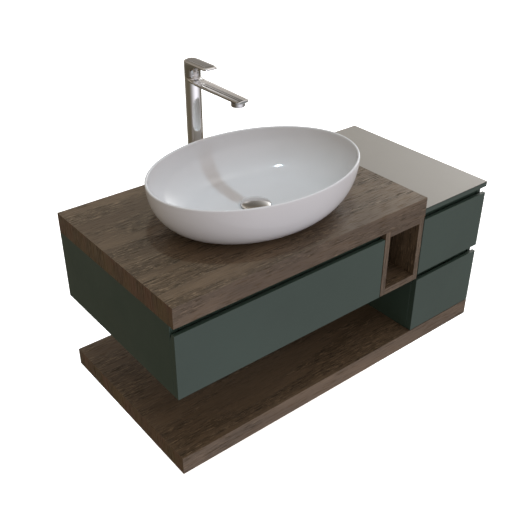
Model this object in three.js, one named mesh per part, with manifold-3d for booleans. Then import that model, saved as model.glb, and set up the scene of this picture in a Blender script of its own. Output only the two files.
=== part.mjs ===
// Wall-hung bathroom vanity with an oval vessel basin and a tall single-lever tap.
//
// Millimetres, +Z up. The pieces are drawn from the unit's lower left front corner:
// x runs to the right, y from the front plane to the wall, z up from the underside of the
// bottom shelf. The whole unit is then moved so that the origin lies on the wall plane,
// at the middle height of the wall rail, on the centre line of the basin.

import * as THREE from 'three';
import { ConvexGeometry } from 'three/addons/geometries/ConvexGeometry.js';
import { mergeVertices } from 'three/addons/utils/BufferGeometryUtils.js';
import Module from 'manifold-3d';

const wasm = await Module();
wasm.setup();

// ---------------------------------------------------------------- driving dimensions

const WIDTH = 1000;            // whole unit, left to right
const DEPTH = 500;             // front plane to wall
const GAP = 0.3;               // between pieces that touch
const BOARD = 16;              // cabinet boards and drawer fronts
const BACK_BOARD = 8;          // back panels
const BACK_RECESS = 16;        // space between back panels and wall
const CARCASS_FRONT = BOARD + 0.5;

const SHELF_TOP = 49;          // bottom shelf, its underside is z = 0
const MAIN_BOTTOM = 224.5;     // underside of the main cabinet
const MAIN_FRONT_TOP = 394;    // top edge of the wide drawer front
const WORKTOP_BOTTOM = 411.5;
const WORKTOP_TOP = 463.5;
const WORKTOP_RIGHT = 754;     // right end of the worktop

const FRONT_RIGHT = 611.5;     // right edge of the wide drawer front
const NICHE_LEFT = 613.5;      // outer faces of the niche
const NICHE_RIGHT = 751.5;
const NICHE_FLOOR = 18;        // thickness of the niche's bottom board

const RIGHT_CAB = 754.3;       // left face of the right cabinet
const LOWER_FRONT = [51, 217];
const UPPER_FRONT = [236, 400];
const TOP_PANEL = [418.5, 430.5];
const GLASS_TOP = 433.5;

const CHANNEL_RAIL_Y = CARCASS_FRONT + 2;   // face of the rails behind the finger channels
const GRIP_DEPTH = 6;          // bevel behind the top edge of each drawer front, for the fingers
const GRIP_HEIGHT = 18;

const BASIN_X = 377;           // basin centre
const BASIN_Y = 210;
const BASIN_A = 275;           // rim half-length
const BASIN_B = 198;           // rim half-width
const BASIN_H = 125;
const FOOT_IN_A = 126;         // how far the foot is drawn in from the rim
const FOOT_IN_B = 85;
const BOWL_POWER = 2.14;       // superellipse exponent of the wall's section
const RIM_THICK = 6;
const BOWL_FLOOR = 16;         // height of the inner floor at the waste

const WASTE_HOLE_R = 22.5;     // through the basin
const WASTE_TUBE_R = 20;
const WASTE_BORE_R = 16.5;
const WASTE_TUBE_END = 398;
const PLUG_R = 37;

const TAP_Y = 457.3;           // tap axis, on the basin's centre line
const TAP_R = 20;
const TAP_SEAM = 731;          // joint between body and handle
const TAP_TOP = 773.5;
const LEVER_RIM = 770;         // where the bevel round the handle's top starts
const LEVER_BEVEL = 8;
const LEVER_TIP_Y = 375;
const LEVER_TIP_R = 11;        // corners of the lever's tip, seen from above
const SPOUT_TOP = 727;
const SPOUT_UNDER = 716.5;
const SPOUT_TIP_Y = 254;
const SPOUT_TAPER_Y = 393;     // the spout is as wide as the column behind this
const SPOUT_TIP_HALF = 16.5;
const ROOT_R = 12;             // fillet under the spout's root
const AERATOR_Y = 276;
const AERATOR_BOTTOM = 708.6;
const AERATOR_R = 16.2;
const LIFT_PIVOT_Y = TAP_Y + 6;
const LIFT_ANGLE = 18;         // degrees
const SHANK_R = 14;
const SHANK_END = 386;

const PIPE_R = 16;             // waste pipe
const PIPE_Z = 384;
const TRAP_X = 287;
const TRAP_Y = 443;
const TRAP_R = 28;
const OUTLET_Z = 312;

const RAIL_Z = 360;            // middle of the wall rail
const RAIL_ENDS = [22, 608];

// ---------------------------------------------------------------- materials

const FINISH = {
  oak: { color: 0x5c5046, roughness: 0.6, metalness: 0 },
  green: { color: 0x4a5350, roughness: 0.45, metalness: 0 },
  carcass: { color: 0x363c38, roughness: 0.55, metalness: 0 },
  drawerSteel: { color: 0x6b6f70, roughness: 0.4, metalness: 0.7 },
  drawerBoard: { color: 0x8d8f8c, roughness: 0.6, metalness: 0 },
  zincSteel: { color: 0xa3a5a8, roughness: 0.35, metalness: 0.9 },
  glass: { color: 0x9d9a90, roughness: 0.25, metalness: 0 },
  ceramic: { color: 0xe6e8ea, roughness: 0.08, metalness: 0 },
  chrome: { color: 0xc8c8ca, roughness: 0.05, metalness: 1 },
  whitePlastic: { color: 0xd8d8d4, roughness: 0.4, metalness: 0 },
  darkPlastic: { color: 0x2b2c2d, roughness: 0.5, metalness: 0 },
};

// ---------------------------------------------------------------- helpers

const unit = new THREE.Group();

function addPiece(name, finish, geometry) {
  const piece = new THREE.Mesh(geometry, new THREE.MeshStandardMaterial(FINISH[finish]));
  piece.name = name;
  unit.add(piece);
  return piece;
}

// A rectangular board between two corners.
function addBoard(name, finish, [x0, x1], [y0, y1], [z0, z1]) {
  const piece = addPiece(name, finish, new THREE.BoxGeometry(x1 - x0, y1 - y0, z1 - z0));
  piece.position.set((x0 + x1) / 2, (y0 + y1) / 2, (z0 + z1) / 2);
  return piece;
}

function outline(points) {
  return new THREE.Shape(points.map(([u, v]) => new THREE.Vector2(u, v)));
}

function circleHole(x, y, radius) {
  return new THREE.Path().absarc(x, y, radius, 0, 2 * Math.PI, true);
}

function rectangleHole([u0, u1], [v0, v1]) {
  return new THREE.Path([[u0, v0], [u0, v1], [u1, v1], [u1, v0]].map(([u, v]) => new THREE.Vector2(u, v)));
}

function extrudeUp(shape, z0, z1, curveSegments = 24) {
  const options = { depth: z1 - z0, bevelEnabled: false, curveSegments };
  return new THREE.ExtrudeGeometry(shape, options).translate(0, 0, z0);
}

// A shape drawn in (x, z), extruded along y.
function extrudeBack(shape, y0, y1) {
  const options = { depth: y1 - y0, bevelEnabled: false };
  return new THREE.ExtrudeGeometry(shape, options).rotateX(Math.PI / 2).translate(0, y1, 0);
}

// A shape drawn in (y, z), extruded along x.
function extrudeAcross(shape, x0, x1) {
  const options = { depth: x1 - x0, bevelEnabled: false };
  const geometry = new THREE.ExtrudeGeometry(shape, options);
  return geometry.rotateX(Math.PI / 2).rotateZ(Math.PI / 2).translate(x0, 0, 0);
}

// A round piece about a vertical axis, from an outline in (radius, z).
function turned(points, x, y, segments = 40) {
  const profile = points.map(([r, z]) => new THREE.Vector2(r, z));
  return new THREE.LatheGeometry(profile, segments).rotateX(Math.PI / 2).translate(x, y, 0);
}

function rodBetween(from, to, radius, segments = 24) {
  const start = new THREE.Vector3(...from);
  const along = new THREE.Vector3(...to).sub(start);
  const rod = new THREE.CylinderGeometry(radius, radius, along.length(), segments);
  rod.translate(0, along.length() / 2, 0);
  const turn = new THREE.Quaternion().setFromUnitVectors(
    new THREE.Vector3(0, 1, 0), along.clone().normalize());
  return rod.applyQuaternion(turn).translate(...from);
}

function toSolid(geometry) {
  const bare = geometry.clone();
  bare.deleteAttribute('normal');
  bare.deleteAttribute('uv');
  const merged = mergeVertices(bare, 1e-4);
  return new wasm.Manifold(new wasm.Mesh({
    numProp: 3,
    vertProperties: new Float32Array(merged.attributes.position.array),
    triVerts: new Uint32Array(merged.index.array),
  }));
}

function toGeometry(solid) {
  const mesh = solid.getMesh();
  const geometry = new THREE.BufferGeometry();
  geometry.setAttribute('position', new THREE.BufferAttribute(new Float32Array(mesh.vertProperties), 3));
  geometry.setIndex(new THREE.BufferAttribute(new Uint32Array(mesh.triVerts), 1));
  return geometry;
}

// Points along a circular arc.
function arc(centreU, centreV, radius, fromDegrees, toDegrees, steps = 6) {
  return Array.from({ length: steps + 1 }, (_, i) => {
    const angle = THREE.MathUtils.degToRad(fromDegrees + (toDegrees - fromDegrees) * i / steps);
    return [centreU + radius * Math.cos(angle), centreV + radius * Math.sin(angle)];
  });
}

// ---------------------------------------------------------------- worktop and shelf

function addWorktop() {
  const slab = outline([[0, 0], [WORKTOP_RIGHT, 0], [WORKTOP_RIGHT, DEPTH], [0, DEPTH]]);
  slab.holes.push(circleHole(BASIN_X, BASIN_Y, WASTE_HOLE_R + 4));
  slab.holes.push(circleHole(BASIN_X, TAP_Y, SHANK_R + 2));
  addPiece('worktop', 'oak', extrudeUp(slab, WORKTOP_BOTTOM, WORKTOP_TOP, 16));
}

// The shelf is held by a steel plate let into its wall edge, with rods that run into bores.
function addBottomShelf() {
  const plateX = [60, 940];
  const plateZ = [6, 43];
  const plateThick = 4;
  const rods = [140, 400, 660, 880];
  const rodR = 6;
  const rodLength = 180;

  const plateFront = DEPTH - plateThick;
  const middle = SHELF_TOP / 2;
  let bracket = toSolid(new THREE.BoxGeometry(plateX[1] - plateX[0], plateThick, plateZ[1] - plateZ[0])
    .translate((plateX[0] + plateX[1]) / 2, DEPTH - plateThick / 2, (plateZ[0] + plateZ[1]) / 2));
  const pocketX = [plateX[0] - 1, plateX[1] + 1];
  const pocketZ = [plateZ[0] - 1, plateZ[1] + 1];
  const pocketDepth = plateThick + GAP;
  let shelf = toSolid(new THREE.BoxGeometry(WIDTH, DEPTH, SHELF_TOP)
    .translate(WIDTH / 2, DEPTH / 2, middle));
  shelf = shelf.subtract(toSolid(
    new THREE.BoxGeometry(pocketX[1] - pocketX[0], pocketDepth + 1, pocketZ[1] - pocketZ[0])
      .translate((pocketX[0] + pocketX[1]) / 2, DEPTH - (pocketDepth - 1) / 2, middle)));
  for (const x of rods) {
    const rodEnd = plateFront - rodLength;
    bracket = bracket.add(toSolid(
      rodBetween([x, plateFront + 1, middle], [x, rodEnd, middle], rodR, 12)));
    shelf = shelf.subtract(toSolid(
      rodBetween([x, DEPTH + 1, middle], [x, rodEnd - 1, middle], rodR + 0.5, 12)));
  }
  addPiece('bottom_shelf', 'oak', toGeometry(shelf));
  addPiece('shelf_bracket', 'zincSteel', toGeometry(bracket));
}

// ---------------------------------------------------------------- cabinets

const BACK_Y = [DEPTH - BACK_RECESS - BACK_BOARD, DEPTH - BACK_RECESS];
const HANGER_WIDTH = 22;
const HANGER_SLOT_Z = RAIL_Z + 30;       // bottom of the notch that the hanger's arm passes
const INNER_LEFT = BOARD + GAP;          // inside of the main cabinet, left and right
const INNER_RIGHT = NICHE_LEFT - GAP;

function addMainCabinet() {
  const top = WORKTOP_BOTTOM - GAP;
  const bodyY = [CARCASS_FRONT, DEPTH];
  addBoard('main_side_left', 'green', [0, BOARD], bodyY, [MAIN_BOTTOM, top]);
  addBoard('main_bottom', 'green', [INNER_LEFT, INNER_RIGHT], [CARCASS_FRONT, BACK_Y[1]],
    [MAIN_BOTTOM, MAIN_BOTTOM + BOARD]);
  addBoard('main_channel_rail', 'green', [INNER_LEFT, INNER_RIGHT],
    [CHANNEL_RAIL_Y, CHANNEL_RAIL_Y + BOARD], [MAIN_FRONT_TOP - 44, top]);

  // The back panel has a notch for each hanger's arm and one cut-out for waste and water.
  const notch = HANGER_WIDTH + 6;
  const bottom = MAIN_BOTTOM + BOARD + GAP;
  const panel = outline([
    [INNER_LEFT, bottom], [INNER_RIGHT, bottom],
    [INNER_RIGHT, HANGER_SLOT_Z], [INNER_RIGHT - notch, HANGER_SLOT_Z],
    [INNER_RIGHT - notch, top], [INNER_LEFT + notch, top],
    [INNER_LEFT + notch, HANGER_SLOT_Z], [INNER_LEFT, HANGER_SLOT_Z],
  ]);
  panel.holes.push(rectangleHole([TRAP_X - 35, TRAP_X + 235], [OUTLET_Z - 24, OUTLET_Z + 24]));
  addPiece('main_back', 'carcass', extrudeBack(panel, BACK_Y[0], BACK_Y[1]));
}

function addNiche() {
  const top = WORKTOP_BOTTOM - GAP;
  const floorTop = MAIN_BOTTOM + NICHE_FLOOR;
  const insideX = [NICHE_LEFT + BOARD + GAP, NICHE_RIGHT - BOARD - GAP];
  const depthY = [0, DEPTH];
  addBoard('niche_side_left', 'oak', [NICHE_LEFT, NICHE_LEFT + BOARD], depthY, [MAIN_BOTTOM, top]);
  addBoard('niche_side_right', 'oak', [NICHE_RIGHT - BOARD, NICHE_RIGHT], depthY, [MAIN_BOTTOM, top]);
  addBoard('niche_top', 'oak', insideX, [0, BACK_Y[0] - GAP], [top - BOARD, top]);
  addBoard('niche_bottom', 'oak', insideX, [0, BACK_Y[0] - GAP], [MAIN_BOTTOM, floorTop]);
  addBoard('niche_back', 'oak', insideX, BACK_Y, [MAIN_BOTTOM, top]);
}

function addRightCabinet() {
  const bottom = SHELF_TOP + GAP;
  const top = TOP_PANEL[0] - GAP;
  const bodyY = [CARCASS_FRONT, DEPTH];
  const insideX = [RIGHT_CAB + BOARD + GAP, WIDTH - BOARD - GAP];
  const railY = [CHANNEL_RAIL_Y, CHANNEL_RAIL_Y + BOARD];
  addBoard('right_side_left', 'green', [RIGHT_CAB, RIGHT_CAB + BOARD], bodyY, [bottom, top]);
  addBoard('right_side_right', 'green', [WIDTH - BOARD, WIDTH], bodyY, [bottom, top]);
  addBoard('right_bottom', 'green', insideX, [CARCASS_FRONT, BACK_Y[0] - GAP], [bottom, bottom + BOARD]);
  addBoard('right_back', 'carcass', insideX, BACK_Y, [bottom, top]);
  addBoard('right_channel_rail_middle', 'green', insideX, railY,
    [LOWER_FRONT[1] - 8, UPPER_FRONT[0] + 12]);
  addBoard('right_channel_rail_upper', 'green', insideX, railY, [UPPER_FRONT[1] - 40, top]);
  const topX = [RIGHT_CAB, WIDTH];
  addBoard('right_top_panel', 'green', topX, [0, DEPTH], TOP_PANEL);
  addBoard('right_glass_top', 'glass', topX, [0, DEPTH], [TOP_PANEL[1] + GAP, GLASS_TOP]);
}

// A Z-shaped rail on the wall. Each hanger hooks over its lip from inside the cabinet.
function addWallRail() {
  const steel = 3;
  const half = 20;
  const lip = 8;
  const lipOut = DEPTH - 11;
  const lipTop = RAIL_Z + half + 12;
  const profile = outline([
    [DEPTH, RAIL_Z - half], [DEPTH, RAIL_Z + half], [lipOut + steel, RAIL_Z + half],
    [lipOut + steel, lipTop], [lipOut, lipTop], [lipOut, RAIL_Z + half - steel],
    [DEPTH - steel, RAIL_Z + half - steel], [DEPTH - steel, RAIL_Z - half],
  ]);
  addPiece('wall_rail', 'zincSteel', extrudeAcross(profile, ...RAIL_ENDS));

  const boxFront = BACK_Y[0] - 36;
  const armBottom = lipTop + 2;
  const hookOut = lipOut + steel + 2.5;
  const hookIn = hookOut + steel;
  const hook = outline([
    [boxFront, RAIL_Z - 8], [BACK_Y[0] - GAP, RAIL_Z - 8], [BACK_Y[0] - GAP, armBottom],
    [hookOut, armBottom], [hookOut, RAIL_Z + half + 3], [hookIn, RAIL_Z + half + 3],
    [hookIn, armBottom + steel], [BACK_Y[0] - GAP - lip, armBottom + steel],
    [BACK_Y[0] - GAP - lip, armBottom + lip], [boxFront, armBottom + lip],
  ]);
  const leftX = INNER_LEFT + 1;
  const rightX = INNER_RIGHT - 1 - HANGER_WIDTH;
  const leftStart = Math.max(leftX, RAIL_ENDS[0]);
  const rightEnd = Math.min(rightX + HANGER_WIDTH, RAIL_ENDS[1]);
  addPiece('hanger_left', 'zincSteel', extrudeAcross(hook, leftStart, leftX + HANGER_WIDTH));
  addPiece('hanger_right', 'zincSteel', extrudeAcross(hook, rightX, rightEnd));
}

// ---------------------------------------------------------------- drawers

const SIDE_THICK = 14;         // double-walled steel drawer side
const SIDE_HEIGHT = 90;
const RUNNER_STEEL = 2;
const SLOT_WIDTH = 8.6;        // under the drawer side, for the intermediate member
const SLOT_HEIGHT = 18;

// One drawer with its runners. inside is the clear width of the carcass, front the outline of
// the front panel, bottom the height of the drawer sides' lower edge, length the box depth.
function addDrawer(name, inside, frontX, frontZ, bottom, length) {
  const boxY = [CARCASS_FRONT - 0.2, CARCASS_FRONT + length];
  const top = bottom + SIDE_HEIGHT;
  const sideOffset = RUNNER_STEEL + GAP + 1.7;
  const frontSection = outline([
    [0, frontZ[0]], [BOARD, frontZ[0]], [BOARD, frontZ[1] - GRIP_HEIGHT],
    [BOARD - GRIP_DEPTH, frontZ[1]], [0, frontZ[1]],
  ]);
  addPiece(`${name}_drawer_front`, 'green', extrudeAcross(frontSection, ...frontX));

  for (const [label, wall, inward] of [['left', inside[0], 1], ['right', inside[1], -1]]) {
    const across = (offset) => wall + inward * offset;
    const span = (a, b) => [Math.min(across(a), across(b)), Math.max(across(a), across(b))];

    // Drawer side: a hollow underneath takes the intermediate member.
    const slotStart = sideOffset + (SIDE_THICK - SLOT_WIDTH) / 2;
    const section = [
      [sideOffset, bottom], [slotStart, bottom], [slotStart, bottom + SLOT_HEIGHT],
      [slotStart + SLOT_WIDTH, bottom + SLOT_HEIGHT], [slotStart + SLOT_WIDTH, bottom],
      [sideOffset + SIDE_THICK, bottom], [sideOffset + SIDE_THICK, top], [sideOffset, top],
    ].map(([offset, z]) => [across(offset), z]);
    addPiece(`${name}_drawer_side_${label}`, 'drawerSteel',
      extrudeBack(outline(inward > 0 ? section : section.reverse()), ...boxY));

    // Intermediate member, half the travel of the drawer.
    addBoard(`${name}_runner_middle_${label}`, 'zincSteel',
      span(slotStart + GAP, slotStart + SLOT_WIDTH - GAP),
      [boxY[0] + 24, boxY[1] - 8], [bottom - 0.6, bottom + SLOT_HEIGHT - 1]);

    // Fixed profile, screwed to the carcass.
    const foot = bottom - 1;
    const footEdge = sideOffset + SIDE_THICK + 1;
    const angle = [
      [GAP, foot - RUNNER_STEEL - 1], [footEdge, foot - RUNNER_STEEL - 1], [footEdge, foot],
      [GAP + RUNNER_STEEL, foot], [GAP + RUNNER_STEEL, foot + 38], [GAP, foot + 38],
    ].map(([offset, z]) => [across(offset), z]);
    addPiece(`${name}_runner_fixed_${label}`, 'zincSteel',
      extrudeBack(outline(inward > 0 ? angle : angle.reverse()), boxY[0] + 2, boxY[1] + 4));
  }

  const clear = sideOffset + SIDE_THICK + GAP;
  const innerX = [inside[0] + clear, inside[1] - clear];
  addBoard(`${name}_drawer_bottom`, 'drawerBoard', innerX, [boxY[0], boxY[1]], [bottom + 2, bottom + 14]);
  addBoard(`${name}_drawer_back`, 'drawerBoard', innerX, [boxY[1] - 14, boxY[1]],
    [bottom + 14 + GAP, top]);
}

function addDrawers() {
  const rightInside = [RIGHT_CAB + BOARD, WIDTH - BOARD];
  const rightFront = [RIGHT_CAB + 0.2, WIDTH];
  addDrawer('wide', [BOARD, NICHE_LEFT], [0, FRONT_RIGHT], [MAIN_BOTTOM, MAIN_FRONT_TOP], 250, 388);
  addDrawer('upper', rightInside, rightFront, UPPER_FRONT, 258, 448);
  addDrawer('lower', rightInside, rightFront, LOWER_FRONT, 76, 448);
}

// ---------------------------------------------------------------- basin

// How far the wall is drawn in at a height fraction, 1 at the foot and 0 at the rim.
function drawIn(fraction) {
  return 1 - (1 - (1 - fraction) ** BOWL_POWER) ** (1 / BOWL_POWER);
}

// Skins closed rings of points into a ring-shaped solid, the last ring joining the first.
function skinRings(rings, count) {
  const points = rings.flat();
  const faces = [];
  rings.forEach((_, i) => {
    const next = ((i + 1) % rings.length) * count;
    for (let k = 0; k < count; k += 1) {
      const kNext = (k + 1) % count;
      const [a, b] = [i * count + k, i * count + kNext];
      const [c, d] = [next + k, next + kNext];
      faces.push(a, b, d, a, d, c);
    }
  });
  const geometry = new THREE.BufferGeometry();
  geometry.setAttribute('position', new THREE.Float32BufferAttribute(points.flat(), 3));
  geometry.setIndex(faces);
  return geometry;
}

function addBasin() {
  const count = 56;
  const base = WORKTOP_TOP + GAP;
  const sections = [];               // [half-length, half-width, height above the base]
  const hole = WASTE_HOLE_R;
  const steps = 12;

  // Outside, from the hole's lower edge across the foot and up to the rim.
  sections.push([hole, hole, 0]);
  for (let i = 0; i <= steps; i += 1) {
    const fraction = 1 - Math.cos((i / steps) * Math.PI / 2);
    const pull = drawIn(fraction);
    const height = fraction * (BASIN_H - RIM_THICK / 2);
    sections.push([BASIN_A - FOOT_IN_A * pull, BASIN_B - FOOT_IN_B * pull, height]);
  }
  // Rounded rim.
  for (let i = 1; i < 5; i += 1) {
    const angle = Math.PI * i / 5;
    const inset = RIM_THICK / 2 * (1 - Math.cos(angle));
    const rise = RIM_THICK / 2 * Math.sin(angle);
    sections.push([BASIN_A - inset, BASIN_B - inset, BASIN_H - RIM_THICK / 2 + rise]);
  }
  // Inside, from the rim down to the floor, which falls gently to the waste.
  const floorFall = 5;
  const floorEdge = BOWL_FLOOR + floorFall;
  for (let i = steps; i >= 1; i -= 1) {
    const fraction = 1 - Math.cos((i / steps) * Math.PI / 2);
    const pull = drawIn(fraction);
    sections.push([
      BASIN_A - RIM_THICK - FOOT_IN_A * pull, BASIN_B - RIM_THICK - FOOT_IN_B * pull,
      floorEdge + fraction * (BASIN_H - RIM_THICK / 2 - floorEdge),
    ]);
  }
  const seat = PLUG_R + 3;
  sections.push([(BASIN_A - FOOT_IN_A) * 0.7, (BASIN_B - FOOT_IN_B) * 0.7, BOWL_FLOOR + 2]);
  sections.push([seat, seat, BOWL_FLOOR]);
  sections.push([hole, hole, BOWL_FLOOR]);

  const rings = sections.map(([a, b, z]) => Array.from({ length: count }, (_, k) => {
    const angle = 2 * Math.PI * k / count;
    return [BASIN_X + a * Math.cos(angle), BASIN_Y + b * Math.sin(angle), base + z];
  }));
  addPiece('basin', 'ceramic', skinRings(rings, count));
}

// ---------------------------------------------------------------- waste

function addWaste() {
  const floor = WORKTOP_TOP + GAP + BOWL_FLOOR;
  const flangeTop = floor + GAP + 2.2;
  addPiece('waste_body', 'chrome', turned([
    [WASTE_BORE_R, WASTE_TUBE_END], [WASTE_TUBE_R, WASTE_TUBE_END], [WASTE_TUBE_R, floor + GAP],
    [PLUG_R - 5, floor + GAP], [PLUG_R - 5.6, flangeTop], [WASTE_BORE_R, flangeTop],
    [WASTE_BORE_R, WASTE_TUBE_END],
  ], BASIN_X, BASIN_Y));

  // Push cover, shut at rest, on a stem with a guide. It springs up by about 7.5 mm.
  const edge = flangeTop + GAP;
  addPiece('waste_plug', 'chrome', turned([
    [0, edge - 52], [5, edge - 52], [5, edge - 40], [12, edge - 38], [12, edge - 34], [5, edge - 32],
    [5, edge], [PLUG_R - 1, edge], [PLUG_R, edge + 1.2], [PLUG_R - 1, edge + 2.6],
    [PLUG_R * 0.8, edge + 4.6], [PLUG_R * 0.5, edge + 6.2], [0, edge + 7],
  ], BASIN_X, BASIN_Y));

  // Union nut under the waste tube and the horizontal pipe to the trap.
  const toTrap = new THREE.Vector2(TRAP_X - BASIN_X, TRAP_Y - BASIN_Y);
  const reach = toTrap.length();
  toTrap.normalize();
  const onPipe = (distance) => [BASIN_X + toTrap.x * distance, BASIN_Y + toTrap.y * distance, PIPE_Z];
  const nutR = 25;
  const socketLength = TRAP_R + 18;
  const nut = toSolid(turned([
    [0, PIPE_Z - PIPE_R - 2], [nutR - 4, PIPE_Z - PIPE_R - 2], [nutR, PIPE_Z - PIPE_R + 2],
    [nutR, WASTE_TUBE_END + 9], [nutR - 1, WASTE_TUBE_END + 10], [0, WASTE_TUBE_END + 10],
  ], BASIN_X, BASIN_Y, 32));
  const pipe = toSolid(rodBetween(onPipe(4), onPipe(reach - socketLength - GAP), PIPE_R));
  const seat = toSolid(new THREE.CylinderGeometry(WASTE_TUBE_R + 0.4, WASTE_TUBE_R + 0.4, 20, 40)
    .rotateX(Math.PI / 2).translate(BASIN_X, BASIN_Y, WASTE_TUBE_END - GAP + 10));
  addPiece('drain_pipe', 'whitePlastic', toGeometry(nut.add(pipe).subtract(seat)));

  // Bottle trap: body with a screwed cup, inlet socket and outlet to the wall.
  const cupBottom = OUTLET_Z - 30;
  const body = toSolid(turned([
    [0, cupBottom], [TRAP_R - 8, cupBottom], [TRAP_R - 2, cupBottom + 6], [TRAP_R - 2, OUTLET_Z - 2],
    [TRAP_R, OUTLET_Z], [TRAP_R, OUTLET_Z + 16], [TRAP_R - 2, OUTLET_Z + 18],
    [TRAP_R - 2, PIPE_Z + 10], [TRAP_R - 10, PIPE_Z + 18], [0, PIPE_Z + 18],
  ], TRAP_X, TRAP_Y, 32));
  const socket = toSolid(rodBetween(onPipe(reach - 4), onPipe(reach - socketLength), PIPE_R + 4));
  const outlet = toSolid(rodBetween([TRAP_X, TRAP_Y, OUTLET_Z + 8], [TRAP_X, DEPTH, OUTLET_Z + 8], PIPE_R));
  addPiece('bottle_trap', 'whitePlastic', toGeometry(body.add(socket).add(outlet)));
}

// ---------------------------------------------------------------- tap

function addTap() {
  const base = WORKTOP_TOP + GAP;
  const column = toSolid(turned([
    [0, SHANK_END], [SHANK_R, SHANK_END], [SHANK_R, base], [TAP_R + 6, base],
    [TAP_R + 6, base + 3], [TAP_R + 5, base + 4], [TAP_R, base + 4], [TAP_R, TAP_SEAM],
    [0, TAP_SEAM],
  ], BASIN_X, TAP_Y, 48));

  // Spout: the side view with its fillets, cut to the tapered plan.
  const front = TAP_Y - TAP_R;
  const side = outline([
    [SPOUT_TIP_Y, SPOUT_UNDER + 4], [SPOUT_TIP_Y + 6, SPOUT_UNDER],
    ...arc(front - ROOT_R, SPOUT_UNDER - ROOT_R, ROOT_R, 90, 0), [TAP_Y, SPOUT_UNDER - ROOT_R],
    [TAP_Y, SPOUT_TOP + 3], [front + 3, SPOUT_TOP + 3], [front - 1, SPOUT_TOP + 1.8],
    [front - 5, SPOUT_TOP + 0.7], [front - 11, SPOUT_TOP],
    [SPOUT_TIP_Y + 2, SPOUT_TOP], [SPOUT_TIP_Y, SPOUT_TOP - 2],
  ]);
  const rootHalf = TAP_R - 0.5;
  const plan = outline([
    [BASIN_X - rootHalf, TAP_Y], [BASIN_X - rootHalf, SPOUT_TAPER_Y],
    ...arc(BASIN_X - SPOUT_TIP_HALF + 5, SPOUT_TIP_Y + 5, 5, 180, 270, 4),
    ...arc(BASIN_X + SPOUT_TIP_HALF - 5, SPOUT_TIP_Y + 5, 5, 270, 360, 4),
    [BASIN_X + rootHalf, SPOUT_TAPER_Y], [BASIN_X + rootHalf, TAP_Y],
  ]);
  const spoutSide = toSolid(extrudeAcross(side, BASIN_X - TAP_R, BASIN_X + TAP_R));
  const spoutPlan = toSolid(extrudeUp(plan, SPOUT_UNDER - 20, SPOUT_TOP + 5));
  let body = column.add(spoutSide.intersect(spoutPlan));

  // Inlets for the two supply hoses, in the end of the shank.
  for (const offset of [-6, 6]) {
    body = body.subtract(toSolid(rodBetween(
      [BASIN_X + offset, TAP_Y, SHANK_END - 1], [BASIN_X + offset, TAP_Y, SHANK_END + 12], 4.5, 16)));
  }
  addPiece('tap_body', 'chrome', toGeometry(body));

  addPiece('tap_aerator', 'chrome', turned([
    [0, AERATOR_BOTTOM + 1.5], [AERATOR_R - 4, AERATOR_BOTTOM + 1.5], [AERATOR_R - 3.4, AERATOR_BOTTOM],
    [AERATOR_R - 0.8, AERATOR_BOTTOM], [AERATOR_R, AERATOR_BOTTOM + 0.8],
    [AERATOR_R, SPOUT_UNDER - GAP], [0, SPOUT_UNDER - GAP],
  ], BASIN_X, AERATOR_Y, 32));

  const nutTop = WORKTOP_BOTTOM - GAP;
  const nutR = SHANK_R + 6;
  const hexagon = outline(Array.from({ length: 6 }, (_, i) => {
    const angle = i * Math.PI / 3;
    return [BASIN_X + nutR * Math.cos(angle), TAP_Y + nutR * Math.sin(angle)];
  }));
  hexagon.holes.push(circleHole(BASIN_X, TAP_Y, SHANK_R + 0.6));
  addPiece('tap_fixing_nut', 'zincSteel', extrudeUp(hexagon, nutTop - 11, nutTop, 16));

  // Stem of the cartridge, turned by the handle.
  addPiece('tap_cartridge_stem', 'darkPlastic', turned([
    [0, TAP_SEAM + GAP], [10, TAP_SEAM + GAP], [10, TAP_SEAM + 8], [7, TAP_SEAM + 13],
    [0, TAP_SEAM + 14],
  ], BASIN_X, TAP_Y, 24));
}

// Outline of the handle from above, drawn in by an inset: round behind, with a rounded tip.
function leverOutline(inset) {
  const half = TAP_R - inset;
  const corner = LEVER_TIP_R - inset;
  const middle = LEVER_TIP_Y + LEVER_TIP_R;
  const side = TAP_R - LEVER_TIP_R;
  return [
    ...arc(BASIN_X, TAP_Y, half, 0, 180, 24),
    ...arc(BASIN_X - side, middle, corner, 180, 270, 6),
    ...arc(BASIN_X + side, middle, corner, 270, 360, 6),
  ];
}

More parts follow.
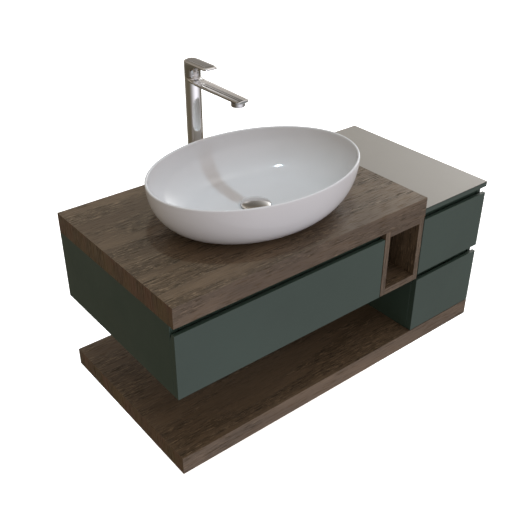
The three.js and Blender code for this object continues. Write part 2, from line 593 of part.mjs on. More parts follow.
// Handle: a neck over the cartridge and a flat lever with a bevel round its top. Its lower
// rear edge is cut back so that the handle can tip by LIFT_ANGLE without meeting the body.
function addTapHandle() {
  const bottom = TAP_SEAM + GAP;
  const neck = toSolid(turned([
    [0, bottom], [TAP_R, bottom], [TAP_R, LEVER_RIM - 2], [0, LEVER_RIM - 2],
  ], BASIN_X, TAP_Y, 48));
  const front = TAP_Y - TAP_R;
  const side = outline([
    [LEVER_TIP_Y - 1, LEVER_RIM - 3.5], [LEVER_TIP_Y + 2, LEVER_RIM - 4.5],
    ...arc(front - 16, LEVER_RIM - 13 - 16, 16, 90, 0), [TAP_Y, LEVER_RIM - 29],
    [TAP_Y, LEVER_RIM - 1], [TAP_Y + TAP_R + 1, LEVER_RIM - 1], [TAP_Y + TAP_R + 1, TAP_TOP + 1],
    [LEVER_TIP_Y - 1, TAP_TOP + 1],
  ]);
  const rings = [[0, LEVER_RIM - 30], [0, LEVER_RIM], [LEVER_BEVEL, TAP_TOP]].map(
    ([inset, z]) => leverOutline(inset).map(([x, y]) => [x, y, z]));
  const leverBlock = toSolid(new ConvexGeometry(rings.flat().map((point) => new THREE.Vector3(...point))));
  const leverSide = toSolid(extrudeAcross(side, BASIN_X - TAP_R - 1, BASIN_X + TAP_R + 1));
  const hollow = toSolid(turned([
    [0, bottom - 1], [15.5, bottom - 1], [15.5, bottom + 20], [0, bottom + 26],
  ], BASIN_X, TAP_Y, 32));
  const rise = Math.tan(THREE.MathUtils.degToRad(LIFT_ANGLE + 1)) * 30;
  const wedge = toSolid(extrudeAcross(outline([
    [LIFT_PIVOT_Y - 1, bottom - 5], [LIFT_PIVOT_Y + 30, bottom - 5], [LIFT_PIVOT_Y + 30, bottom + rise],
    [LIFT_PIVOT_Y - 1, bottom],
  ]), BASIN_X - 40, BASIN_X + 40));
  const handle = neck.add(leverSide.intersect(leverBlock)).subtract(hollow).subtract(wedge);
  addPiece('tap_handle', 'chrome', toGeometry(handle));
}

// ---------------------------------------------------------------- assembly

addWorktop();
addBottomShelf();
addMainCabinet();
addNiche();
addRightCabinet();
addWallRail();
addDrawers();
addBasin();
addWaste();
addTap();
addTapHandle();

unit.position.set(-BASIN_X, -DEPTH, -RAIL_Z);

export default unit;
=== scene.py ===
"""Looks of the wall-hung vanity with a vessel basin and a tall lever tap.

Metres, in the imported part's own frame: +X along the unit, +Y towards the wall, +Z up.
"""

import math

import bpy
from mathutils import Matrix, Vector


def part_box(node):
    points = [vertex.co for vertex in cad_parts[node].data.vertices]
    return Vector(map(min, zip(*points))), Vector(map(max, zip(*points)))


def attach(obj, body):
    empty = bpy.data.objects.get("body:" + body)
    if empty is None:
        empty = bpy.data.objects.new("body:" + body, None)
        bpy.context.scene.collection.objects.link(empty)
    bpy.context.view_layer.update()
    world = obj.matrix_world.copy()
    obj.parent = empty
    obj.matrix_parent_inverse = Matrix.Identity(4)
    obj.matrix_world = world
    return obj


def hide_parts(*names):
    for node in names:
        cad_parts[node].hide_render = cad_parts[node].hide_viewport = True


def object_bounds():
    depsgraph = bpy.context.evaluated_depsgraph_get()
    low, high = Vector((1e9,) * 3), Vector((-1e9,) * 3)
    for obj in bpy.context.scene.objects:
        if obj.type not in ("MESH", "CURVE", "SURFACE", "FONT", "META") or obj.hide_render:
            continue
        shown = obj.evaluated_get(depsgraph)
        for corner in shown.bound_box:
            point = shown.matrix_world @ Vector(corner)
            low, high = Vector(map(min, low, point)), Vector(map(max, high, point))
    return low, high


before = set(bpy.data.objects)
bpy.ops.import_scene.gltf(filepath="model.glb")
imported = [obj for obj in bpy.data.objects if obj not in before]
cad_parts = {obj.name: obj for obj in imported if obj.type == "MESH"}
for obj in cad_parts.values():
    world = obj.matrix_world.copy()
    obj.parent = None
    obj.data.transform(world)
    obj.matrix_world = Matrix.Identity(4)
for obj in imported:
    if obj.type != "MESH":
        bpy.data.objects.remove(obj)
CAD_LOW, CAD_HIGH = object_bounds()
MM = 0.001
ROOT = "vanity"
QUARTER = math.pi / 2
FULL = 2 * math.pi
SKIN_GAP = 0.02 * MM  # keeps an added fitting off the face it sits on


# ---------------------------------------------------------------- camera, floor and light

AZIMUTH = -38.51
ELEVATION = 31.85
CAMERA_DISTANCE = 1.9464
AIM_OFFSET = Vector((-0.088, 0.004, -0.0848))  # from the middle of the CAD box
LENS = 53.14


def make_camera():
    a, e = math.radians(AZIMUTH), math.radians(ELEVATION)
    back = Vector((math.sin(a) * math.cos(e), -math.cos(a) * math.cos(e), math.sin(e)))
    data = bpy.data.cameras.new("camera")
    data.lens = LENS
    data.sensor_width = 36.0
    camera = bpy.data.objects.new("camera", data)
    bpy.context.collection.objects.link(camera)
    camera.location = (CAD_LOW + CAD_HIGH) / 2 + AIM_OFFSET + back * CAMERA_DISTANCE
    camera.rotation_euler = (-back).to_track_quat("-Z", "Y").to_euler()
    bpy.context.scene.camera = camera


# Room light: a dim warm surround, darker behind, with broad soft lobes and small bright cards.
SURROUND_UP = (0.470, 0.390, 0.300)
SURROUND_DOWN = (0.126, 0.105, 0.072)
HORIZON_BLEND = 0.15  # how far above and below the horizon the surround changes
SHADES = (
    # direction, sharpness, how much it takes away
    ((0.48, 0.70, 0.53), 7.0, 0.84),
)
LOBES = (
    # direction, sharpness, strength, colour
    ((0.42, -0.82, 0.38), 2.5, 0.68, (0.96, 0.95, 1.06)),
    ((-0.10, -0.90, -0.45), 3.0, 0.90, (0.96, 0.95, 1.06)),
    ((0.88, 0.38, 0.28), 30.0, 3.9, (1.0, 1.0, 1.0)),
    ((0.20, 0.97, 0.00), 6.0, 0.25, (1.0, 0.98, 0.96)),
    ((0.06, 0.02, 1.00), 20.0, 1.1, (0.80, 0.92, 1.0)),
    ((0.53, 0.06, 0.85), 90.0, 1.9, (1.0, 1.0, 1.0)),
    ((-0.03, 0.66, 0.76), 70.0, 0.5, (1.0, 0.98, 0.96)),
    ((0.44, 0.78, 0.44), 700.0, 0.90, (1.0, 0.95, 0.93)),
    ((0.59, 0.78, 0.21), 700.0, 0.65, (1.0, 0.95, 0.93)),
)
KEY_STRENGTH = 0.92
KEY_COLOUR = (0.66, 0.86, 1.0)
KEY_ANGLE = 3.6
KEY_TOWARDS = Vector((-0.06, -0.02, -1))
FLOOR_DROP = 0.39  # from the underside of the unit to the floor
FLOOR_RADIUS = 9.0
SWEEP_RADIUS = 3.0  # where the floor turns up into the backdrop
BACKDROP_TOP = 12.0
FLOOR_GLOW = 0.80


def make_room():
    """World light that depends only on direction."""
    world = bpy.data.worlds.new("studio")
    bpy.context.scene.world = world
    world.use_nodes = True
    tree = world.node_tree

    def add(kind, **settings):
        node = tree.nodes.new(kind)
        for name, value in settings.items():
            setattr(node, name, value)
        return node

    direction = add("ShaderNodeTexCoord").outputs["Generated"]
    split = add("ShaderNodeSeparateXYZ")
    tree.links.new(direction, split.inputs["Vector"])
    ramp = add("ShaderNodeMapRange")
    ramp.inputs["From Min"].default_value = -HORIZON_BLEND
    ramp.inputs["From Max"].default_value = HORIZON_BLEND
    tree.links.new(split.outputs["Z"], ramp.inputs["Value"])
    base = add("ShaderNodeMix", data_type="RGBA")
    base.inputs[6].default_value = (*SURROUND_DOWN, 1)
    base.inputs[7].default_value = (*SURROUND_UP, 1)
    tree.links.new(ramp.outputs["Result"], base.inputs[0])
    total = base.outputs[2]

    def towards(direction_to, sharpness):
        """1 in one direction, falling to 0 away from it."""
        dot = add("ShaderNodeVectorMath", operation="DOT_PRODUCT")
        dot.inputs[1].default_value = Vector(direction_to).normalized()
        tree.links.new(direction, dot.inputs[0])
        front = add("ShaderNodeMath", operation="MAXIMUM")
        front.inputs[1].default_value = 0.0
        tree.links.new(dot.outputs["Value"], front.inputs[0])
        power = add("ShaderNodeMath", operation="POWER")
        power.inputs[1].default_value = sharpness
        tree.links.new(front.outputs[0], power.inputs[0])
        return power.outputs[0]

    for direction_to, sharpness, amount in SHADES:
        shade = add("ShaderNodeMix", data_type="RGBA", blend_type="MULTIPLY")
        shade.inputs[7].default_value = (1 - amount, 1 - amount, 1 - amount, 1)
        tree.links.new(towards(direction_to, sharpness), shade.inputs[0])
        tree.links.new(total, shade.inputs[6])
        total = shade.outputs[2]
    for direction_to, sharpness, strength, colour in LOBES:
        lobe = add("ShaderNodeMix", data_type="RGBA", blend_type="ADD")
        lobe.inputs[7].default_value = (*(c * strength for c in colour), 1)
        tree.links.new(towards(direction_to, sharpness), lobe.inputs[0])
        tree.links.new(total, lobe.inputs[6])
        total = lobe.outputs[2]
    tree.links.new(total, tree.nodes["Background"].inputs["Color"])


def make_key():
    data = bpy.data.lights.new("key", "SUN")
    data.energy = KEY_STRENGTH
    data.color = KEY_COLOUR
    data.angle = math.radians(KEY_ANGLE)
    key = bpy.data.objects.new("key", data)
    bpy.context.collection.objects.link(key)
    key.rotation_euler = KEY_TOWARDS.to_track_quat("-Z", "Y").to_euler()


def make_floor():
    """A wide disc that sweeps up into a backdrop all round.

    It shows to the camera only. The world light below the horizon lights the object from below.
    """
    z = CAD_LOW.z - FLOOR_DROP
    centre = (CAD_LOW + CAD_HIGH) / 2
    section = [(FLOOR_RADIUS, 0.0)]
    for i in range(1, 11):
        turn = math.radians(9 * i)
        out, up = SWEEP_RADIUS * math.sin(turn), SWEEP_RADIUS * (1 - math.cos(turn))
        section.append((FLOOR_RADIUS + out, up))
    section.append((FLOOR_RADIUS + SWEEP_RADIUS, BACKDROP_TOP))
    rings = [circle(centre.x, centre.y, z + up, out, 96) for out, up in section]
    points, faces = skin(rings, caps=(True, False))
    mesh = bpy.data.meshes.new("floor")
    mesh.from_pydata(points, [], faces)
    mesh.flip_normals()
    mesh.shade_smooth()
    floor = bpy.data.objects.new("floor", mesh)
    bpy.context.collection.objects.link(floor)
    floor.visible_diffuse = False
    floor.visible_glossy = False
    floor.visible_shadow = False
    paint = Paint("floor_paint")
    paint.colour(paint.tones(paint.noise(paint.at(), 2.0), (0.92, 0.92, 0.92), (0.95, 0.95, 0.95)))
    paint.roughness(paint.tones(paint.noise(paint.at(), 9.0), 0.85, 0.95))
    paint.shader.inputs["Emission Color"].default_value = (1, 1, 1, 1)
    paint.shader.inputs["Emission Strength"].default_value = FLOOR_GLOW
    floor.data.materials.append(paint.material)


def make_studio():
    bpy.context.scene.view_settings.view_transform = "Standard"
    make_room()
    make_key()
    make_floor()


# ---------------------------------------------------------------- materials

def scaled(colour, factor, lift=0.0):
    return tuple(min(1.0, c * factor + lift) for c in colour)


class Paint:
    """A Principled material with helpers that add and join its nodes."""

    def __init__(self, name, **sockets):
        """sockets are shader inputs by name, with _ for a space, such as coat_weight."""
        self.material = bpy.data.materials.new(name)
        self.material.use_nodes = True
        self.tree = self.material.node_tree
        self.shader = self.tree.nodes["Principled BSDF"]
        for socket, value in sockets.items():
            self.shader.inputs[socket.replace("_", " ").title()].default_value = value

    def add(self, kind, **settings):
        node = self.tree.nodes.new(kind)
        for name, value in settings.items():
            setattr(node, name, value)
        return node

    def join(self, source, node, socket):
        if hasattr(source, "is_output"):
            self.tree.links.new(source, node.inputs[socket])
        else:
            node.inputs[socket].default_value = source

    def at(self, stretch=(1, 1, 1), turn=(0, 0, 0), shift=(0, 0, 0)):
        """Object coordinates, turned, then stretched and shifted."""
        place = self.add("ShaderNodeTexCoord").outputs["Object"]
        for values, socket in ((turn, "Rotation"), (stretch, "Scale"), (shift, "Location")):
            if tuple(values) != ((1, 1, 1) if socket == "Scale" else (0, 0, 0)):
                node = self.add("ShaderNodeMapping")
                self.join(place, node, "Vector")
                node.inputs[socket].default_value = values
                place = node.outputs["Vector"]
        return place

    def at_normal(self, turn=(0, 0, 0)):
        """The object normal, turned as the coordinates are."""
        normal = self.add("ShaderNodeTexCoord").outputs["Normal"]
        if tuple(turn) == (0, 0, 0):
            return normal
        node = self.add("ShaderNodeMapping")
        self.join(normal, node, "Vector")
        node.inputs["Rotation"].default_value = turn
        return node.outputs["Vector"]

    def noise(self, place, scale, detail=3.0, roughness=0.5, distortion=0.0):
        node = self.add("ShaderNodeTexNoise")
        self.join(place, node, "Vector")
        node.inputs["Scale"].default_value = scale
        node.inputs["Detail"].default_value = detail
        node.inputs["Roughness"].default_value = roughness
        node.inputs["Distortion"].default_value = distortion
        return node.outputs["Fac"]

    def ramp(self, value, *stops):
        """Maps a value through (position, grey or colour) stops."""
        node = self.add("ShaderNodeValToRGB")
        self.join(value, node, "Fac")
        elements = node.color_ramp.elements
        while len(elements) < len(stops):
            elements.new(0.5)
        for element, (position, colour) in zip(elements, stops):
            element.position = position
            grey = isinstance(colour, (int, float))
            element.color = (colour, colour, colour, 1) if grey else (*colour, 1)
        return node.outputs["Color"]

    def tones(self, value, dark, light):
        return self.ramp(value, (0.3, dark), (0.7, light))

    def mix(self, factor, a, b):
        node = self.add("ShaderNodeMix", data_type="RGBA")
        self.join(factor, node, 0)
        for value, socket in ((a, 6), (b, 7)):
            self.join(value if hasattr(value, "is_output") else (*value, 1), node, socket)
        return node.outputs[2]

    def maths(self, operation, a, b=0.0, c=0.0):
        node = self.add("ShaderNodeMath", operation=operation)
        for index, value in enumerate((a, b, c)):
            self.join(value, node, index)
        return node.outputs[0]

    def edges(self, radius=1.2 * MM):
        """1 near an edge and 0 on the flat."""
        bevel = self.add("ShaderNodeBevel", samples=4)
        bevel.inputs["Radius"].default_value = radius
        true = self.add("ShaderNodeNewGeometry").outputs["True Normal"]
        dot = self.add("ShaderNodeVectorMath", operation="DOT_PRODUCT")
        self.join(bevel.outputs["Normal"], dot, 0)
        self.join(true, dot, 1)
        return self.ramp(dot.outputs["Value"], (0.75, 1.0), (0.99, 0.0))

    def colour(self, source):
        self.join(source, self.shader, "Base Color")

    def roughness(self, source):
        self.join(source, self.shader, "Roughness")

    def bump(self, height, distance, strength=1.0):
        node = self.add("ShaderNodeBump")
        node.inputs["Strength"].default_value = strength
        node.inputs["Distance"].default_value = distance
        self.join(height, node, "Height")
        self.join(node.outputs["Normal"], self.shader, "Normal")


# Oak laminate: the printed wood, its dark pores and pale rays, and the blush of its end edging.
OAK_LIGHT = (0.152, 0.106, 0.066)
OAK_MID = (0.086, 0.058, 0.035)
OAK_DARK = (0.050, 0.034, 0.018)
OAK_PORE = (0.029, 0.018, 0.006)
OAK_PALE = (0.290, 0.212, 0.138)
OAK_WORN = (0.22, 0.16, 0.11)
OAK_BLUSH_RED = (0.118, 0.060, 0.036)
OAK_BLUSH_YELLOW = (0.105, 0.068, 0.030)
GREEN = (0.0305, 0.055, 0.0432)
CARCASS_GREEN = (0.032, 0.046, 0.038)
GLASS_EDGE = (0.020, 0.034, 0.028)
WHITE_PLASTIC = (0.68, 0.68, 0.66)
CHROME = (0.60, 0.60, 0.60)
# A brighter copy of the polished chrome for the tap's column: painted light, a brighter reflection than
# the same chrome gets on the spout and lever.
COLUMN_CHROME_PAINTED_LIGHT = (0.86, 0.86, 0.86)
# A brighter copy of the polished chrome for the waste cover: painted light, a brighter reflection than
# the same chrome gets on the tap.
WASTE_CHROME_PAINTED_LIGHT = (0.88, 0.88, 0.87)


def oak(name, turn=(0, 0, 0), shift=(0, 0, 0)):
    """Smoked oak laminate. The grain runs along X before the turn, and upright on the ends."""
    paint = Paint(name)
    base = paint.at(turn=turn, shift=shift)
    split = paint.add("ShaderNodeSeparateXYZ")
    paint.join(base, split, "Vector")
    ends = paint.add("ShaderNodeCombineXYZ")
    for socket, source in (("X", "Z"), ("Y", "Y"), ("Z", "X")):
        paint.join(split.outputs[source], ends, socket)
    normal = paint.at_normal(turn)
    facing = paint.add("ShaderNodeSeparateXYZ")
    paint.join(normal, facing, "Vector")
    on_end, on_front = (paint.ramp(paint.maths("ABSOLUTE", facing.outputs[axis]), (0.6, 0.0), (0.75, 1.0))
                        for axis in ("X", "Y"))
    pick = paint.add("ShaderNodeMix", data_type="VECTOR")
    paint.join(on_end, pick, 0)
    paint.join(base, pick, 4)
    paint.join(ends.outputs["Vector"], pick, 5)
    place = pick.outputs[1]

    def grain(across, along, **settings):
        node = paint.add("ShaderNodeMapping")
        paint.join(place, node, "Vector")
        node.inputs["Scale"].default_value = (along, across, across)
        return paint.noise(node.outputs["Vector"], 1.0, **settings)

    zone = grain(24, 3.4, detail=4, roughness=0.6, distortion=0.5)
    zone = paint.ramp(zone, (0.46, 0.0), (0.56, 1.0))
    patch = grain(11, 2.2, detail=3, distortion=0.8)
    dashes = grain(260, 26, detail=3, roughness=0.6, distortion=0.2)
    fibre = grain(640, 26, detail=2, roughness=0.6)
    relief = grain(340, 58, detail=2, roughness=0.7)

    tone = paint.ramp(patch, (0.34, OAK_MID), (0.66, OAK_LIGHT))
    blush = paint.ramp(grain(16, 9, detail=2), (0.42, OAK_BLUSH_RED), (0.58, OAK_BLUSH_YELLOW))
    tone = paint.mix(paint.maths("MULTIPLY", on_end, 0.85), tone, blush)
    tone = paint.mix(paint.maths("MULTIPLY", zone, 0.46), tone, OAK_DARK)
    tone = paint.mix(paint.ramp(fibre, (0.36, 0.30), (0.62, 0.0)), tone, OAK_DARK)
    strength = paint.maths("MULTIPLY_ADD", zone, 0.88, 0.10)
    strength = paint.maths("MULTIPLY", strength, paint.maths("MULTIPLY_ADD", on_end, -0.6, 1.0))
    strength = paint.maths("MULTIPLY", strength, paint.maths("MULTIPLY_ADD", on_front, -0.4, 1.0))
    dark_dash = paint.ramp(dashes, (0.36, 1.0), (0.46, 0.0))
    pale_dash = paint.ramp(dashes, (0.56, 0.0), (0.66, 1.0))
    tone = paint.mix(paint.maths("MULTIPLY", dark_dash, strength), tone, OAK_PORE)
    pale_strength = paint.maths("MULTIPLY", strength, 0.55)
    tone = paint.mix(paint.maths("MULTIPLY", pale_dash, pale_strength), tone, OAK_PALE)
    dark_pore = paint.ramp(relief, (0.36, 0.75), (0.41, 0.0))
    pale_pore = paint.ramp(relief, (0.59, 0.0), (0.64, 0.55))
    tone = paint.mix(paint.maths("MULTIPLY", dark_pore, strength), tone, OAK_PORE)
    tone = paint.mix(paint.maths("MULTIPLY", pale_pore, strength), tone, OAK_PALE)
    wear = paint.maths("MULTIPLY", paint.edges(), 0.22)
    paint.colour(paint.mix(wear, tone, OAK_WORN))
    paint.roughness(paint.ramp(dashes, (0.36, 0.85), (0.48, 0.42), (0.68, 0.34)))
    paint.bump(paint.maths("MULTIPLY", paint.maths("ADD", dashes, relief), strength), 0.6 * MM, 0.7)
    return paint.material


def lacquer(name, colour):
    """Satin lacquer on board: faint cloudiness, fine orange peel and slightly rubbed edges."""
    paint = Paint(name)
    cloud = paint.noise(paint.at(), 5.0, detail=3)
    tone = paint.tones(cloud, scaled(colour, 0.94), scaled(colour, 1.06))
    wear = paint.maths("MULTIPLY", paint.edges(1.0 * MM), 0.3)
    paint.colour(paint.mix(wear, tone, scaled(colour, 1.5, 0.02)))
    smudge = paint.noise(paint.at(), 9.0, detail=5, roughness=0.6)
    paint.roughness(paint.ramp(smudge, (0.3, 0.37), (0.7, 0.48)))
    paint.bump(paint.noise(paint.at(), 900.0, detail=1), 0.03 * MM, 0.35)
    return paint.material


def melamine(name, colour):
    """Board with a printed melamine face: fine fleck and pearl texture."""
    paint = Paint(name)
    fleck = paint.noise(paint.at(), 260.0, detail=2)
    tone = paint.tones(fleck, scaled(colour, 0.88), scaled(colour, 1.08))
    wear = paint.maths("MULTIPLY", paint.edges(), 0.3)
    paint.colour(paint.mix(wear, tone, scaled(colour, 1.6)))
    paint.roughness(paint.tones(paint.noise(paint.at(), 30.0), 0.5, 0.62))
    paint.bump(paint.noise(paint.at(), 700.0, detail=2), 0.05 * MM, 0.5)
    return paint.material


def satin_glass(name):
    """Back-painted glass: greige from above, dark green through its cut edge."""
    paint = Paint(name, coat_weight=0.15)
    normal = paint.add("ShaderNodeNewGeometry").outputs["Normal"]
    split = paint.add("ShaderNodeSeparateXYZ")
    paint.join(normal, split, "Vector")
    upward = paint.ramp(split.outputs["Z"], (0.4, 0.0), (0.75, 1.0))
    haze = paint.noise(paint.at(), 3.0, detail=4)
    haze = paint.tones(haze, (0.250, 0.232, 0.206), (0.262, 0.243, 0.216))
    paint.colour(paint.mix(upward, GLASS_EDGE, haze))
    paint.roughness(paint.tones(paint.noise(paint.at(), 24.0, detail=4), 0.34, 0.38))
    paint.bump(paint.noise(paint.at(), 1300.0, detail=1), 0.02 * MM, 0.25)
    return paint.material


def glaze(name):
    """White glazed ceramic: deep gloss with a very slight waviness and tiny pinholes."""
    paint = Paint(name, coat_weight=0.1)
    paint.shader.inputs["Coat Roughness"].default_value = 0.03
    paint.shader.inputs["Specular IOR Level"].default_value = 0.26
    body = paint.noise(paint.at(), 6.0, detail=3)
    body = paint.tones(body, (0.59, 0.60, 0.62), (0.62, 0.63, 0.65))
    specks = paint.ramp(paint.noise(paint.at(), 520.0, detail=1), (0.80, 0.0), (0.86, 1.0))
    paint.colour(paint.mix(paint.maths("MULTIPLY", specks, 0.35), body, (0.42, 0.40, 0.38)))
    paint.roughness(paint.tones(paint.noise(paint.at(), 18.0, detail=4), 0.06, 0.10))
    paint.bump(paint.noise(paint.at(), 22.0, detail=2), 0.25 * MM, 0.25)
    return paint.material


def chrome_plate(name, colour=CHROME):
    """Polished chrome with faint wiping marks and water spots."""
    paint = Paint(name, metallic=1.0)
    wipe = paint.noise(paint.at(stretch=(1, 1, 0.25)), 60.0, detail=5, roughness=0.65)
    paint.colour(paint.tones(wipe, scaled(colour, 0.96), colour))
    spots = paint.ramp(paint.noise(paint.at(), 240.0, detail=1), (0.70, 0.0), (0.78, 1.0))
    film = paint.ramp(wipe, (0.3, 0.035), (0.75, 0.075))
    paint.roughness(paint.mix(paint.maths("MULTIPLY", spots, 0.5), film, (0.16, 0.16, 0.16)))
    paint.bump(wipe, 0.01 * MM, 0.15)
    return paint.material


def plated_steel(name, colour=(0.52, 0.53, 0.55), along=(1, 0.02, 1), metallic=1.0, rough=0.34):
    """Zinc-plated or coated steel with rolling marks along one axis and rubbed edges."""
    paint = Paint(name, metallic=metallic)
    marks = paint.noise(paint.at(stretch=along), 600.0, detail=3, roughness=0.6)
    spangle = paint.noise(paint.at(), 70.0, detail=2)
    tone = paint.tones(spangle, scaled(colour, 0.86), colour)
    wear = paint.maths("MULTIPLY", paint.edges(0.8 * MM), 0.4)
    paint.colour(paint.mix(wear, tone, scaled(colour, 1.3)))
    paint.roughness(paint.ramp(marks, (0.3, rough - 0.06), (0.7, rough + 0.1)))
    paint.bump(marks, 0.02 * MM, 0.3)
    return paint.material


def moulded(name, colour, rough=0.38):
    """Moulded plastic with a fine spark-eroded texture."""
    paint = Paint(name)
    paint.colour(paint.tones(paint.noise(paint.at(), 14.0), scaled(colour, 0.95), colour))
    sheen = paint.noise(paint.at(), 90.0, detail=3)
    paint.roughness(paint.tones(sheen, rough - 0.04, rough + 0.06))
    paint.bump(paint.noise(paint.at(), 1500.0, detail=2), 0.03 * MM, 0.4)
    return paint.material


# ---------------------------------------------------------------- mesh helpers

def new_piece(name, points, faces, material, body, replaces=(), smooth=True):
    mesh = bpy.data.meshes.new(name)
    mesh.from_pydata(points, [], faces)
    mesh.validate()
    mesh.update()
    if smooth:
        mesh.shade_smooth()
    piece = bpy.data.objects.new(name, mesh)
    bpy.context.collection.objects.link(piece)
    mesh.materials.append(material)
    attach(piece, body)
    if replaces:
        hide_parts(*replaces)
    return piece


def skin(rings, closed_rings=False, caps=(True, True)):
    """Points and faces over rings of equal length.

    closed_rings joins the last ring to the first, and caps close the first and the last ring.
    """
    count = len(rings[0])
    points = [p for ring in rings for p in ring]
    faces = []
    spans = len(rings) if closed_rings else len(rings) - 1
    for i in range(spans):
        j = (i + 1) % len(rings)
        for k in range(count):
            m = (k + 1) % count
            faces.append((i * count + k, i * count + m, j * count + m, j * count + k))
    if not closed_rings and caps[0]:
        faces.append(tuple(reversed(range(count))))
    if not closed_rings and caps[1]:
        last = (len(rings) - 1) * count
        faces.append(tuple(range(last, last + count)))
    return points, faces


def oval(x, y, z, half_x, half_y, count):
    turns = [FULL * k / count for k in range(count)]
    return [(x + half_x * math.cos(t), y + half_y * math.sin(t), z) for t in turns]


def circle(x, y, z, radius, count):
    return oval(x, y, z, radius, radius, count)


def lathe(profile, x, y, count=96, closed=False):
    """A turned solid from (radius, z) points, from the bottom up the outside."""
    rings = [circle(x, y, z, max(r, 1e-6), count) for r, z in profile]
    return skin(rings, closed_rings=closed)


def middle(node):
    low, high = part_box(node)
    return (low.x + high.x) / 2, (low.y + high.y) / 2


def blend(a, b, t):
    return a + (b - a) * t


def clamp(t):
    return max(0.0, min(1.0, t))


def rounded(profile, radius, steps=4):
    """The (radius, z) outline with its corners rounded, apart from the first and last point."""
    out = [profile[0]]
    for before, corner, after in zip(profile, profile[1:], profile[2:]):
        c = Vector(corner)
        to_a, to_b = Vector(before) - c, Vector(after) - c
        reach = min(radius, to_a.length * 0.45, to_b.length * 0.45)
        a, b = c + to_a.normalized() * reach, c + to_b.normalized() * reach
        for i in range(steps + 1):
            t = i / steps
            p = a * (1 - t) ** 2 + c * 2 * t * (1 - t) + b * t ** 2
            out.append((p.x, p.y))
    out.append(profile[-1])
    return out


# ---------------------------------------------------------------- carried-over CAD nodes

def dress(node, material, bevel):
    """A CAD node keeps its shape and gets its material and softly broken edges."""
    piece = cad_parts[node]
    piece.data.materials.clear()
    piece.data.materials.append(material)
    if bevel:
        weld = piece.modifiers.new("weld", "WELD")
        weld.merge_threshold = 0.02 * MM
        edge = piece.modifiers.new("edge", "BEVEL")
        edge.width = bevel
        edge.segments = 3
        edge.limit_method = "ANGLE"
        edge.angle_limit = math.radians(35)
        edge.harden_normals = False


def dress_boards():
    grain_x = oak("oak_worktop", shift=(2.3, 0.55, 1.7))
    dress("worktop", grain_x, 0.9 * MM)
    dress("bottom_shelf", oak("oak_shelf", shift=(0.7, 0.31, 0.2)), 0.9 * MM)
    upright = oak("oak_upright", turn=(0, QUARTER, 0), shift=(0.2, 0.6, 0.1))
    lying = oak("oak_lying", shift=(0.35, 0.12, 0.55))
    for node in ("niche_side_left", "niche_side_right", "niche_back"):
        dress(node, upright, 0.5 * MM)
    for node in ("niche_top", "niche_bottom"):
        dress(node, lying, 0.5 * MM)

    green = lacquer("green_lacquer", GREEN)
    for node in ("main_side_left", "main_bottom", "main_channel_rail", "right_side_left",
                 "right_side_right", "right_bottom", "right_top_panel", "right_channel_rail_upper",
                 "right_channel_rail_middle", "wide_drawer_front", "upper_drawer_front",
                 "lower_drawer_front"):
        dress(node, green, 0.8 * MM)
    carcass = melamine("carcass_board", CARCASS_GREEN)
    for node in ("main_back", "right_back"):
        dress(node, carcass, 0.4 * MM)
    dress("right_glass_top", satin_glass("satin_glass"), 0.5 * MM)


def dress_drawers():
    steel = plated_steel("coated_steel", (0.20, 0.205, 0.21), metallic=0.4, rough=0.42)
    board = melamine("drawer_board", (0.36, 0.37, 0.36))
    zinc = plated_steel("zinc_plate")
    for drawer in ("wide", "upper", "lower"):
        for side in ("left", "right"):
            dress(f"{drawer}_drawer_side_{side}", steel, 0.6 * MM)
            dress(f"{drawer}_runner_fixed_{side}", zinc, 0.4 * MM)
            dress(f"{drawer}_runner_middle_{side}", zinc, 0.5 * MM)
        for part in ("back", "bottom"):
            dress(f"{drawer}_drawer_{part}", board, 0.4 * MM)
    for node in ("wall_rail", "hanger_left", "hanger_right", "shelf_bracket"):
        dress(node, plated_steel(f"zinc_{node}", along=(0.02, 1, 1)), 0.4 * MM)
    dress("tap_fixing_nut", zinc, 0.4 * MM)
    plastic = moulded("white_plastic", WHITE_PLASTIC)
    dress("drain_pipe", plastic, 0)
    dress("bottle_trap", plastic, 0)
    dress("tap_cartridge_stem", moulded("dark_plastic", (0.03, 0.03, 0.032)), 0)


# ---------------------------------------------------------------- basin

BOWL_POWER = 2.14      # superellipse exponent of the wall's section
FOOT_IN_A = 126 * MM   # how far the foot is drawn in from the rim
FOOT_IN_B = 85 * MM
RIM = 6 * MM
HOLE_R = 22.5 * MM
FLOOR_RISE = 16 * MM   # the inner floor at the waste
FLOOR_DISH = 5 * MM    # how much higher it is at the foot of the wall
SEAT_R = 40 * MM       # flat round the waste
HOLE_EDGE = 1 * MM


def draw_in(fraction):
    """How far the basin's wall is drawn in: 1 at the foot and 0 at the rim."""
    return 1 - (1 - (1 - fraction) ** BOWL_POWER) ** (1 / BOWL_POWER)


